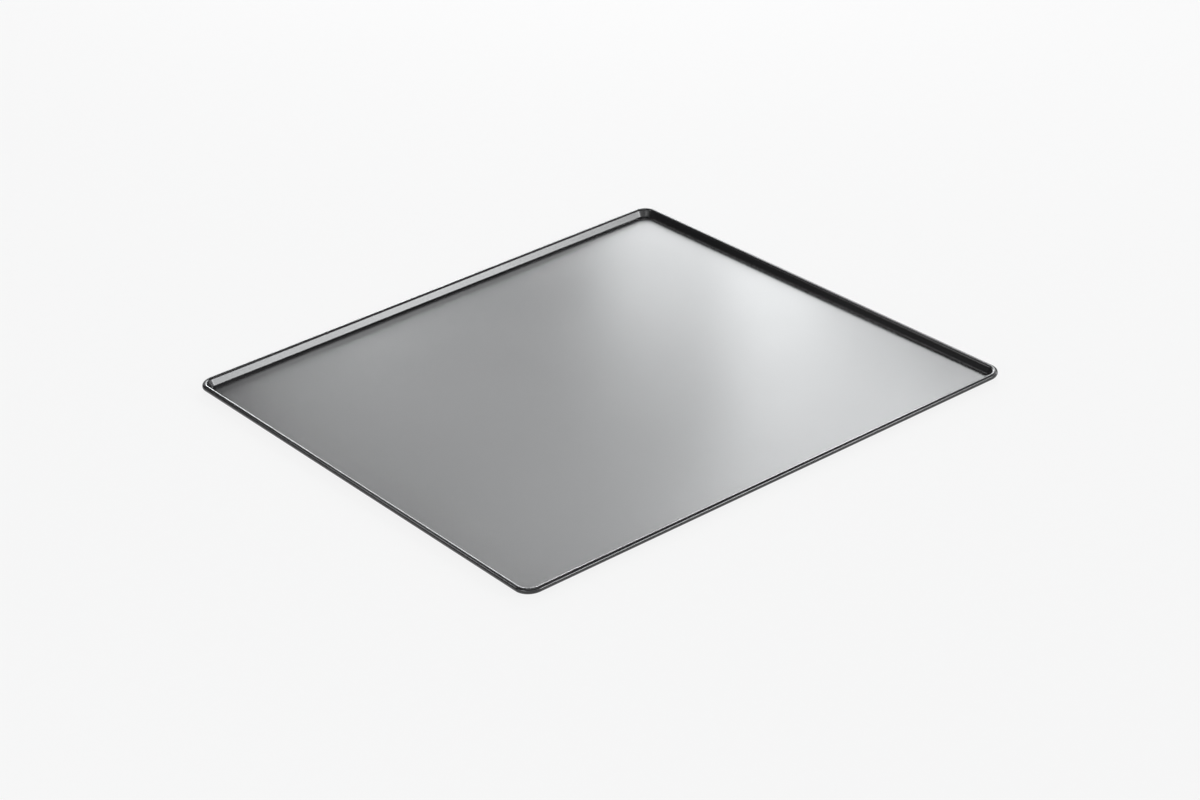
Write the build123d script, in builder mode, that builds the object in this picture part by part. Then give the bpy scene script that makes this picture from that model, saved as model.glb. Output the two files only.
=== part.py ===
from build123d import *
from math import acos, cos, degrees, radians, sin
import os

# Cookie sheet: a shallow pressed steel tray whose edge is curled outwards round a reinforcing wire.
# X is the long side, Y the short side, +Z up. The origin is the middle of the underside.

# Whole tray, measured over the bead
tray_length = 400.0
tray_width = 385.0
tray_height = 6.3
corner_radius = 11.5

# Pressed sheet
sheet_thickness = 0.8
foot_radius = 1.0
wall_draft = 26.0
curl_edge_gap = 0.2

# Wire in the rim
wire_diameter = 2.2
wire_clearance = 0.1
wire_joint_gap = 1.5

# Sizes of the rim that follow from the sheet and the wire
curl_inner_radius = wire_diameter / 2 + wire_clearance
bead_radius = curl_inner_radius + sheet_thickness
bead_centre_height = tray_height - bead_radius
curl_middle_radius = bead_radius - sheet_thickness / 2
foot_middle_radius = foot_radius + sheet_thickness / 2

# The curl stops where its outer corner would come within its gap of the wall's outer face
curl_turn = 360.0 - degrees(acos((curl_inner_radius - curl_edge_gap) / bead_radius))

# Along the middle of the sheet: rise of the foot bend, rise of the curl's start, wall run between them
draft = radians(wall_draft)
foot_rise = foot_middle_radius * (1 - sin(draft))
curl_start_height = bead_centre_height + curl_middle_radius * sin(draft)
wall_rise = curl_start_height - sheet_thickness / 2 - foot_rise
wall_run = wall_rise / cos(draft)

# Plan distance from the outside of the bead to where the foot bend leaves the flat base
wall_reach = wall_run * sin(draft)
foot_reach = foot_middle_radius * cos(draft)
curl_reach = bead_radius + curl_middle_radius * cos(draft)
rim_reach = curl_reach + wall_reach + foot_reach

# Plan size of the flat base and of the line that the bead's centre follows
base_length = tray_length - 2 * rim_reach
base_width = tray_width - 2 * rim_reach
base_corner_radius = corner_radius - rim_reach
bead_path_length = tray_length - 2 * bead_radius
bead_path_width = tray_width - 2 * bead_radius
bead_path_radius = corner_radius - bead_radius

os.makedirs("parts", exist_ok=True)

# The bead's centre line: a rounded rectangle that starts where a long side meets a corner
with BuildSketch(Plane.XY.offset(bead_centre_height)) as bead_outline:
    RectangleRounded(bead_path_length, bead_path_width, bead_path_radius)
bead_path = bead_outline.sketch.face().outer_wire()

# Section plane across the right-hand side: x to the outside of the tray, y up
side_section = Plane.XZ

# Pressed sheet: a flat base, and round it the foot bend, the wall and the curl in one swept section
with BuildPart() as baking_sheet:
    with BuildSketch():
        RectangleRounded(base_length, base_width, base_corner_radius)
    extrude(amount=sheet_thickness)
    with BuildSketch(side_section) as rim_section:
        with BuildLine():
            foot_bend = JernArc(
                start=(base_length / 2, sheet_thickness / 2),
                tangent=(1, 0),
                radius=foot_middle_radius,
                arc_size=90 - wall_draft,
            )
            wall = PolarLine(start=foot_bend @ 1, length=wall_run, direction=foot_bend % 1)
            JernArc(start=wall @ 1, tangent=wall % 1, radius=curl_middle_radius, arc_size=-curl_turn)
        trace(line_width=sheet_thickness)
    sweep(path=bead_path)
baking_sheet.part.label = "baking_sheet"
export_step(baking_sheet.part, "parts/baking_sheet.step")

# Reinforcing wire: one round length bent to the bead's centre line, open at the middle of the far side
with BuildPart() as rim_wire:
    with BuildSketch(side_section):
        with Locations((bead_path_length / 2, bead_centre_height)):
            Circle(wire_diameter / 2)
    sweep(path=bead_path)
    with Locations((0, bead_path_width / 2, bead_centre_height)):
        Box(wire_joint_gap, 2 * wire_diameter, 2 * wire_diameter, mode=Mode.SUBTRACT)
rim_wire.part.label = "rim_wire"
export_step(rim_wire.part, "parts/rim_wire.step")
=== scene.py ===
from math import acos, cos, pi, radians, sin

import bpy
from mathutils import Matrix, Vector


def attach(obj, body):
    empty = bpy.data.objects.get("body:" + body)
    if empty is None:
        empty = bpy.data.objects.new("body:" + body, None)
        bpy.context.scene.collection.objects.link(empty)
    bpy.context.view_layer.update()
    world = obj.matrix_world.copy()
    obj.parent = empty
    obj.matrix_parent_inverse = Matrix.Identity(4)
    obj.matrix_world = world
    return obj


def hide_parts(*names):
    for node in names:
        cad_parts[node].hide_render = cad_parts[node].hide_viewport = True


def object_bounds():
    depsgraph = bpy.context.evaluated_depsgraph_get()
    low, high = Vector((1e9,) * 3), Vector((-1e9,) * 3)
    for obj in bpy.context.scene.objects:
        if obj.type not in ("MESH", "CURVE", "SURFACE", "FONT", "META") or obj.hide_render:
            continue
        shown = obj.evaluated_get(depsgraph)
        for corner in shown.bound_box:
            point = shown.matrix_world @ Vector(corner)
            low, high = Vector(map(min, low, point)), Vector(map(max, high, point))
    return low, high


# Cookie sheet in a plain pale studio. Lengths are in metres. X is the tray's long side, Y the short
# side and +Z up, and the origin is the middle of the underside.

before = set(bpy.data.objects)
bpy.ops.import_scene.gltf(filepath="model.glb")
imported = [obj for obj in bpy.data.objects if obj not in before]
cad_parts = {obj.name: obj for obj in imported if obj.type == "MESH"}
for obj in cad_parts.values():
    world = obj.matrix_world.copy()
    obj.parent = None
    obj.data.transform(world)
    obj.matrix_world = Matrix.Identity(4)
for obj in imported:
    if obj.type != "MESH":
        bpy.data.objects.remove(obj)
cad_low, cad_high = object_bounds()

MM = 0.001

# Whole tray, as packed
tray_length = cad_high.x - cad_low.x
tray_width = cad_high.y - cad_low.y
tray_height = cad_high.z - cad_low.z
corner_radius = 11.5 * MM

# Pressed sheet and the wire in its rim
sheet_thickness = 0.8 * MM
foot_radius = 1.0 * MM
wall_draft = radians(26)
curl_edge_gap = 0.2 * MM
curl_inner_radius = 1.2 * MM
bead_radius = curl_inner_radius + sheet_thickness

# How finely the sheet's mesh is divided
corner_steps = 24
side_spacing = 10 * MM
foot_steps = 12
wall_steps = 3
bead_steps = 60
hidden_steps = 30
edge_steps = 4

# Photograph's viewpoint, solved from the tray's outline in the 1200 x 800 picture
picture_width = 1200
focal_pixels = 2935.917
sensor_width = 36.0
view_azimuth = radians(-35.57866)
view_elevation = radians(28.18359)
view_roll = radians(-4.755914)
view_distance = 1.97015
view_target = Vector((-0.0158004, -0.0277547, 0.0043))

# Range that most values of a noise pattern lie in
noise_low = 0.3
noise_high = 0.7

# Coating: colours and gloss
coat_dark = (0.0105, 0.0105, 0.011)
coat_light = (0.0165, 0.0165, 0.017)
# Painted highlight: a paler colour laid in patches on the bead's top, for the light band along its crown
coat_painted_highlight = (0.04, 0.04, 0.041)
coat_roughness = 0.24
coat_ior = 1.6

# Clouding, sprayed grain and specks in the coating. Scales are in repeats a metre.
cloud_scale = 14
cloud_detail = 4
cloud_change = 0.012
cloud_share = 0.6
grain_scale = 1600
grain_detail = 3
grain_crispness = 0.6
grain_change = 0.02
grain_depth = 0.004 * MM
speck_scale = 5200
speck_detail = 1

# Patches on the bead's crown: a painted highlight, and more gloss
patch_scale = 55
patch_detail = 3
patch_low = 0.45
patch_high = 0.75
crown_height = 0.5 * MM
painted_highlight_share = 0.5
crown_polish = 0.05

# Drawn wire: colours and gloss, lines along it and dull spots
steel_dark = (0.42, 0.42, 0.41)
steel_light = (0.58, 0.58, 0.57)
steel_roughness = 0.3
line_scale = 14
line_detail = 4
line_crispness = 0.7
line_share = 0.6
line_change = 0.08
line_depth = 0.01 * MM
spot_scale = 260
spot_detail = 3
spot_low = 0.5
spot_high = 0.8
spot_change = 0.15

# Floor paper
floor_size = 30.0
floor_gap = 0.1 * MM
paper_scale = 120
paper_detail = 4
paper_dark = (0.07, 0.07, 0.07)
paper_light = (0.078, 0.078, 0.078)
paper_glow = 0.86

# Studio light
lamp_colour = (0.975, 0.99, 1.0)
dark_studio = 0.02

# Soft boxes that the tray mirrors at the photograph's angle: name, azimuth and elevation in degrees,
# distance, width, height and radiance
mirrored_boxes = [
    ("key_back", 30, 35, 1.5, 0.3, 0.3, 13.7),
    ("near_back", 40, 29, 1.1, 0.22, 0.3, 5.5),
    ("middle_back", 48, 21, 1.5, 0.28, 0.24, 5.3),
    ("wide_back", 61, 30, 1.5, 0.55, 0.35, 2.5),
    ("high_back", 42, 39, 1.5, 0.36, 0.24, 4.1),
    ("high_back_left", 55, 39, 1.5, 0.36, 0.24, 3.1),
    ("low_back", 55, 12, 1.5, 0.6, 0.24, 9.7),
    ("low_back_left", 68, 12, 1.5, 0.28, 0.24, 11.8),
    ("left_back", 133, 32, 1.1, 0.3, 0.3, 4.8),
    ("left_front", -160, 23, 1.0, 0.3, 0.25, 3.8),
    ("front", -59.5, 19.5, 3.0, 0.95, 0.62, 15.0),
    ("low_right", -15, 7, 1.0, 0.16, 0.08, 12.0),
]

# Weaker soft boxes above and all round, which light the tray for other angles
top_box = ("top", 0, 89, 1.3, 0.8, 0.8, 1.5)
far_azimuths = {
    "far_left": 180,
    "far_front_left": -145,
    "far_front": -110,
    "far_front_right": -75,
    "far_right": -40,
    "far_right_back": -5,
}
far_elevation = 22
far_distance = 1.6
far_width = 1.0
far_height = 0.7
far_radiance = 1.3
far_back_box = ("far_back", 90, 19, 1.6, 0.55, 0.4, 1.3)


def section_arc(centre, radius, start, end, steps, side=1):
    """Points of an arc in the rim's section: inset from the outside, height, and the surface's normal.
    Angles are from the outward direction, turning upwards. Side is -1 where the metal is outside the arc."""
    points = []
    for step in range(steps + 1):
        angle = start + (end - start) * step / steps
        outward = cos(angle)
        upward = sin(angle)
        inset = centre[0] - radius * outward
        height = centre[1] + radius * upward
        points.append((inset, height, side * outward, side * upward))
    return points


def section_line(first, last, normal, steps):
    """Points strictly between two section points on a straight run that share a normal."""
    points = []
    for step in range(1, steps):
        share = step / steps
        inset = first[0] + (last[0] - first[0]) * share
        height = first[1] + (last[1] - first[1]) * share
        points.append((inset, height, normal[0], normal[1]))
    return points


def rim_section():
    """The pressed sheet's closed section, from the top of the base over the bead to the underside."""
    bead_centre = (bead_radius, tray_height - bead_radius)
    foot_outer_radius = foot_radius + sheet_thickness
    curl_middle_radius = bead_radius - sheet_thickness / 2
    foot_middle_radius = foot_radius + sheet_thickness / 2
    curl_turn = 2 * pi - acos((curl_inner_radius - curl_edge_gap) / bead_radius)

    # The wall leans outwards by its draft between the foot bend and the curl
    foot_rise = foot_middle_radius * (1 - sin(wall_draft))
    curl_start = bead_centre[1] + curl_middle_radius * sin(wall_draft)
    wall_rise = curl_start - sheet_thickness / 2 - foot_rise
    wall_reach = wall_rise / cos(wall_draft) * sin(wall_draft)
    reach = bead_radius + (curl_middle_radius + foot_middle_radius) * cos(wall_draft) + wall_reach
    foot_centre = (reach, foot_outer_radius)

    wall_angle = pi - wall_draft
    curl_end = wall_angle - curl_turn
    inner_foot = section_arc(foot_centre, foot_radius, -pi / 2, -wall_draft, foot_steps, side=-1)
    bead = section_arc(bead_centre, bead_radius, wall_angle, curl_end, bead_steps)
    curl_inside = section_arc(bead_centre, curl_inner_radius, curl_end, wall_angle, hidden_steps, side=-1)
    outer_foot = section_arc(foot_centre, foot_outer_radius, -wall_draft, -pi / 2, foot_steps)

    inner_wall = section_line(inner_foot[-1], bead[0], bead[0][2:], wall_steps)
    outer_wall = section_line(curl_inside[-1], outer_foot[0], outer_foot[0][2:], wall_steps)
    cut_direction = (sin(curl_end), -cos(curl_end))
    cut_edge = section_line(bead[-1], curl_inside[0], cut_direction, edge_steps)
    return inner_foot + inner_wall + bead + cut_edge + curl_inside + outer_wall + outer_foot


def plan_stations():
    """Places round the tray: a point of the inner rectangle that the corners turn about, and the way out."""
    half_x = tray_length / 2 - corner_radius
    half_y = tray_width / 2 - corner_radius
    corners = [(half_x, half_y), (-half_x, half_y), (-half_x, -half_y), (half_x, -half_y)]
    stations = []
    for index, (x, y) in enumerate(corners):
        for step in range(corner_steps):
            angle = (index + step / corner_steps) * pi / 2
            stations.append((x, y, cos(angle), sin(angle)))
        next_x, next_y = corners[(index + 1) % 4]
        side_length = abs(next_x - x) + abs(next_y - y)
        side_steps = round(side_length / side_spacing)
        angle = (index + 1) * pi / 2
        for step in range(side_steps):
            share = step / side_steps
            place = (x + (next_x - x) * share, y + (next_y - y) * share)
            stations.append((*place, cos(angle), sin(angle)))
    return stations


def build_sheet():
    """The pressed sheet as one closed mesh: the rim's section carried round the tray, and the flat base."""
    section = rim_section()
    stations = plan_stations()
    verts = []
    normals = []
    faces = []
    for anchor_x, anchor_y, out_x, out_y in stations:
        for inset, height, outward, upward in section:
            reach = corner_radius - inset
            verts.append((anchor_x + out_x * reach, anchor_y + out_y * reach, height))
            normals.append((out_x * outward, out_y * outward, upward))
    around = len(stations)
    across = len(section)
    for station in range(around):
        following = (station + 1) % around
        for point in range(across - 1):
            first = station * across + point
            second = following * across + point
            faces.append((first, first + 1, second + 1, second))
    top_ring = [station * across for station in range(around)]
    bottom_ring = [station * across + across - 1 for station in range(around)]
    faces.append(top_ring)
    faces.append(bottom_ring[::-1])
    mesh = bpy.data.meshes.new("sheet_body")
    mesh.from_pydata(verts, [], faces)
    mesh.validate()
    mesh.polygons.foreach_set("use_smooth", [True] * len(mesh.polygons))
    mesh.normals_split_custom_set_from_vertices(normals)
    mesh.update()
    sheet = bpy.data.objects.new("sheet_body", mesh)
    bpy.context.scene.collection.objects.link(sheet)
    return sheet


def new_material(name):
    material = bpy.data.materials.new(name)
    material.use_nodes = True
    nodes = material.node_tree.nodes
    return material, nodes, material.node_tree.links, nodes["Principled BSDF"]


def noise(nodes, links, place, scale, detail, crispness=0.5):
    """A noise pattern's value. Scale is in repeats a metre; crispness is how strong fine detail is."""
    node = nodes.new("ShaderNodeTexNoise")
    node.inputs["Scale"].default_value = scale
    node.inputs["Detail"].default_value = detail
    node.inputs["Roughness"].default_value = crispness
    links.new(place, node.inputs["Vector"])
    return node.outputs["Fac"]


def spread(nodes, links, value, low, high, from_low=noise_low, from_high=noise_high):
    """The value carried from its own range to low and high, and held there."""
    node = nodes.new("ShaderNodeMapRange")
    node.inputs["From Min"].default_value = from_low
    node.inputs["From Max"].default_value = from_high
    node.inputs["To Min"].default_value = low
    node.inputs["To Max"].default_value = high
    links.new(value, node.inputs["Value"])
    return node.outputs["Result"]


def combine(nodes, links, operation, first, second):
    """Two values put together; the second may be a plain number."""
    node = nodes.new("ShaderNodeMath")
    node.operation = operation
    links.new(first, node.inputs[0])
    if isinstance(second, float):
        node.inputs[1].default_value = second
    else:
        links.new(second, node.inputs[1])
    return node.outputs["Value"]


def blend_colours(nodes, links, share, first, second):
    node = nodes.new("ShaderNodeMix")
    node.data_type = "RGBA"
    links.new(share, node.inputs["Factor"])
    node.inputs["A"].default_value = (*first, 1)
    node.inputs["B"].default_value = (*second, 1)
    return node.outputs["Result"]


def bump(nodes, links, height, depth):
    node = nodes.new("ShaderNodeBump")
    node.inputs["Distance"].default_value = depth
    links.new(height, node.inputs["Height"])
    return node.outputs["Normal"]


def nonstick_material():
    """Satin dark coating: a fine sprayed grain, faint clouding, and a painted highlight in patches on the
    bead's top, where it is also glossier.
    """
    material, nodes, links, shader = new_material("nonstick_coating")
    place = nodes.new("ShaderNodeTexCoord").outputs["Object"]
    parts = nodes.new("ShaderNodeSeparateXYZ")
    links.new(place, parts.inputs["Vector"])

    cloud = noise(nodes, links, place, cloud_scale, cloud_detail)
    grain = noise(nodes, links, place, grain_scale, grain_detail, grain_crispness)
    speck = noise(nodes, links, place, speck_scale, speck_detail)

    # Patches on the top of the bead, which take a painted highlight and more gloss
    crown = spread(nodes, links, parts.outputs["Z"], 0, 1, tray_height - crown_height, tray_height)
    patch = noise(nodes, links, place, patch_scale, patch_detail)
    patches = spread(nodes, links, patch, 0, 1, patch_low, patch_high)
    crown_patch_mask = combine(nodes, links, "MULTIPLY", crown, patches)

    # Colour: clouded and specked between the two coat colours, and paler in patches on the bead's top as a
    # painted highlight
    cloud_tone = spread(nodes, links, cloud, 0, cloud_share)
    speck_tone = spread(nodes, links, speck, 0, 1 - cloud_share)
    tone = combine(nodes, links, "ADD", cloud_tone, speck_tone)
    coat = blend_colours(nodes, links, tone, coat_dark, coat_light)
    highlight_share = combine(nodes, links, "MULTIPLY", crown_patch_mask, painted_highlight_share)
    painted_highlight = nodes.new("ShaderNodeMix")
    painted_highlight.data_type = "RGBA"
    links.new(highlight_share, painted_highlight.inputs["Factor"])
    links.new(coat, painted_highlight.inputs["A"])
    painted_highlight.inputs["B"].default_value = (*coat_painted_highlight, 1)
    links.new(painted_highlight.outputs["Result"], shader.inputs["Base Color"])

    # Gloss: duller and glossier with the clouding and the grain, and glossier in the patches on the bead's
    # top
    clouding = spread(nodes, links, cloud, coat_roughness - cloud_change, coat_roughness + cloud_change)
    graining = spread(nodes, links, grain, -grain_change, grain_change)
    polish = combine(nodes, links, "MULTIPLY", crown_patch_mask, crown_polish)
    rough = combine(nodes, links, "ADD", clouding, graining)
    rough = combine(nodes, links, "SUBTRACT", rough, polish)
    links.new(rough, shader.inputs["Roughness"])

    links.new(bump(nodes, links, grain, grain_depth), shader.inputs["Normal"])
    shader.inputs["IOR"].default_value = coat_ior
    return material


def wire_material():
    """Drawn steel: fine lines along the wire, with a little clouding and dull spots."""
    material, nodes, links, shader = new_material("drawn_steel")
    inputs = nodes.new("ShaderNodeTexCoord")
    place = inputs.outputs["Object"]
    facing = nodes.new("ShaderNodeSeparateXYZ")
    links.new(inputs.outputs["Normal"], facing.inputs["Vector"])

    # How far the surface faces up is the same all along the wire, so a pattern of it runs lengthwise
    around = nodes.new("ShaderNodeCombineXYZ")
    links.new(facing.outputs["Z"], around.inputs["X"])
    lines = noise(nodes, links, around.outputs["Vector"], line_scale, line_detail, line_crispness)
    cloud = noise(nodes, links, place, cloud_scale, cloud_detail)
    spots = noise(nodes, links, place, spot_scale, spot_detail)

    line_tone = spread(nodes, links, lines, 0, line_share)
    cloud_tone = spread(nodes, links, cloud, 0, 1 - line_share)
    tone = combine(nodes, links, "ADD", line_tone, cloud_tone)
    links.new(blend_colours(nodes, links, tone, steel_dark, steel_light), shader.inputs["Base Color"])
    drawn = spread(nodes, links, lines, steel_roughness - line_change, steel_roughness + line_change)
    dulling = spread(nodes, links, spots, 0, spot_change, spot_low, spot_high)
    links.new(combine(nodes, links, "ADD", drawn, dulling), shader.inputs["Roughness"])
    links.new(bump(nodes, links, lines, line_depth), shader.inputs["Normal"])
    shader.inputs["Metallic"].default_value = 1
    return material


def floor_material():
    """Plain paper, dark in itself. Where it is seen, also in a reflection, a glow makes it near white."""
    material, nodes, links, shader = new_material("studio_paper")
    place = nodes.new("ShaderNodeTexCoord").outputs["Object"]
    fibres = noise(nodes, links, place, paper_scale, paper_detail)
    colour = blend_colours(nodes, links, fibres, paper_dark, paper_light)
    links.new(colour, shader.inputs["Base Color"])
    shader.inputs["Roughness"].default_value = 1
    shader.inputs["Specular IOR Level"].default_value = 0
    ray = nodes.new("ShaderNodeLightPath")
    seen = combine(nodes, links, "MAXIMUM", ray.outputs["Is Camera Ray"], ray.outputs["Is Glossy Ray"])
    seen = combine(nodes, links, "MAXIMUM", seen, ray.outputs["Is Transmission Ray"])
    shader.inputs["Emission Color"].default_value = (1, 1, 1, 1)
    links.new(combine(nodes, links, "MULTIPLY", seen, paper_glow), shader.inputs["Emission Strength"])
    return material


def make_floor():
    reach = floor_size / 2
    corners = [(-reach, -reach, 0), (reach, -reach, 0), (reach, reach, 0), (-reach, reach, 0)]
    mesh = bpy.data.meshes.new("floor")
    mesh.from_pydata(corners, [], [(0, 1, 2, 3)])
    mesh.update()
    floor = bpy.data.objects.new("floor", mesh)
    floor.location.z = -floor_gap
    bpy.context.scene.collection.objects.link(floor)
    mesh.materials.append(floor_material())


def soft_box(name, azimuth, elevation, distance, width, height, radiance):
    """A rectangular lamp that faces the tray. Azimuth is from +X towards +Y, in degrees."""
    level = cos(radians(elevation))
    away = Vector((
        cos(radians(azimuth)) * level,
        sin(radians(azimuth)) * level,
        sin(radians(elevation)),
    ))
    data = bpy.data.lights.new(name, "AREA")
    data.shape = "RECTANGLE"
    data.size = width
    data.size_y = height
    data.energy = radiance * pi * width * height
    data.color = lamp_colour
    lamp = bpy.data.objects.new(name, data)
    lamp.rotation_mode = "QUATERNION"
    lamp.rotation_quaternion = away.to_track_quat("Z", "Y")
    lamp.location = away * distance
    lamp.visible_camera = False
    bpy.context.scene.collection.objects.link(lamp)


def light_studio():
    """All the lamps, and a faint even light from the dark studio round them."""
    for box in mirrored_boxes:
        soft_box(*box)
    soft_box(*top_box)
    for name, azimuth in far_azimuths.items():
        soft_box(name, azimuth, far_elevation, far_distance, far_width, far_height, far_radiance)
    soft_box(*far_back_box)
    world = bpy.data.worlds.new("studio")
    world.use_nodes = True
    surround = world.node_tree.nodes["Background"]
    surround.inputs["Color"].default_value = (*lamp_colour, 1)
    surround.inputs["Strength"].default_value = dark_studio
    bpy.context.scene.world = world


def make_camera():
    """A camera at the photograph's viewpoint, turned about its own axis by the picture's small roll."""
    back = Vector((
        sin(view_azimuth) * cos(view_elevation),
        -cos(view_azimuth) * cos(view_elevation),
        sin(view_elevation),
    ))
    level_right = (-back).cross(Vector((0, 0, 1))).normalized()
    level_up = level_right.cross(-back)
    right = level_right * cos(view_roll) + level_up * sin(view_roll)
    up = level_up * cos(view_roll) - level_right * sin(view_roll)
    data = bpy.data.cameras.new("camera")
    data.sensor_width = sensor_width
    data.lens = focal_pixels * sensor_width / picture_width
    camera = bpy.data.objects.new("camera", data)
    turn = Matrix((right, up, back)).transposed().to_4x4()
    camera.matrix_world = Matrix.Translation(view_target + back * view_distance) @ turn
    bpy.context.scene.collection.objects.link(camera)
    bpy.context.scene.camera = camera


sheet = build_sheet()
sheet.data.materials.append(nonstick_material())
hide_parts("baking_sheet")
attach(sheet, "root")

wire = bpy.data.objects["rim_wire"]
wire.data.materials.clear()
wire.data.materials.append(wire_material())

make_floor()
light_studio()
make_camera()
bpy.context.scene.view_settings.view_transform = "Standard"
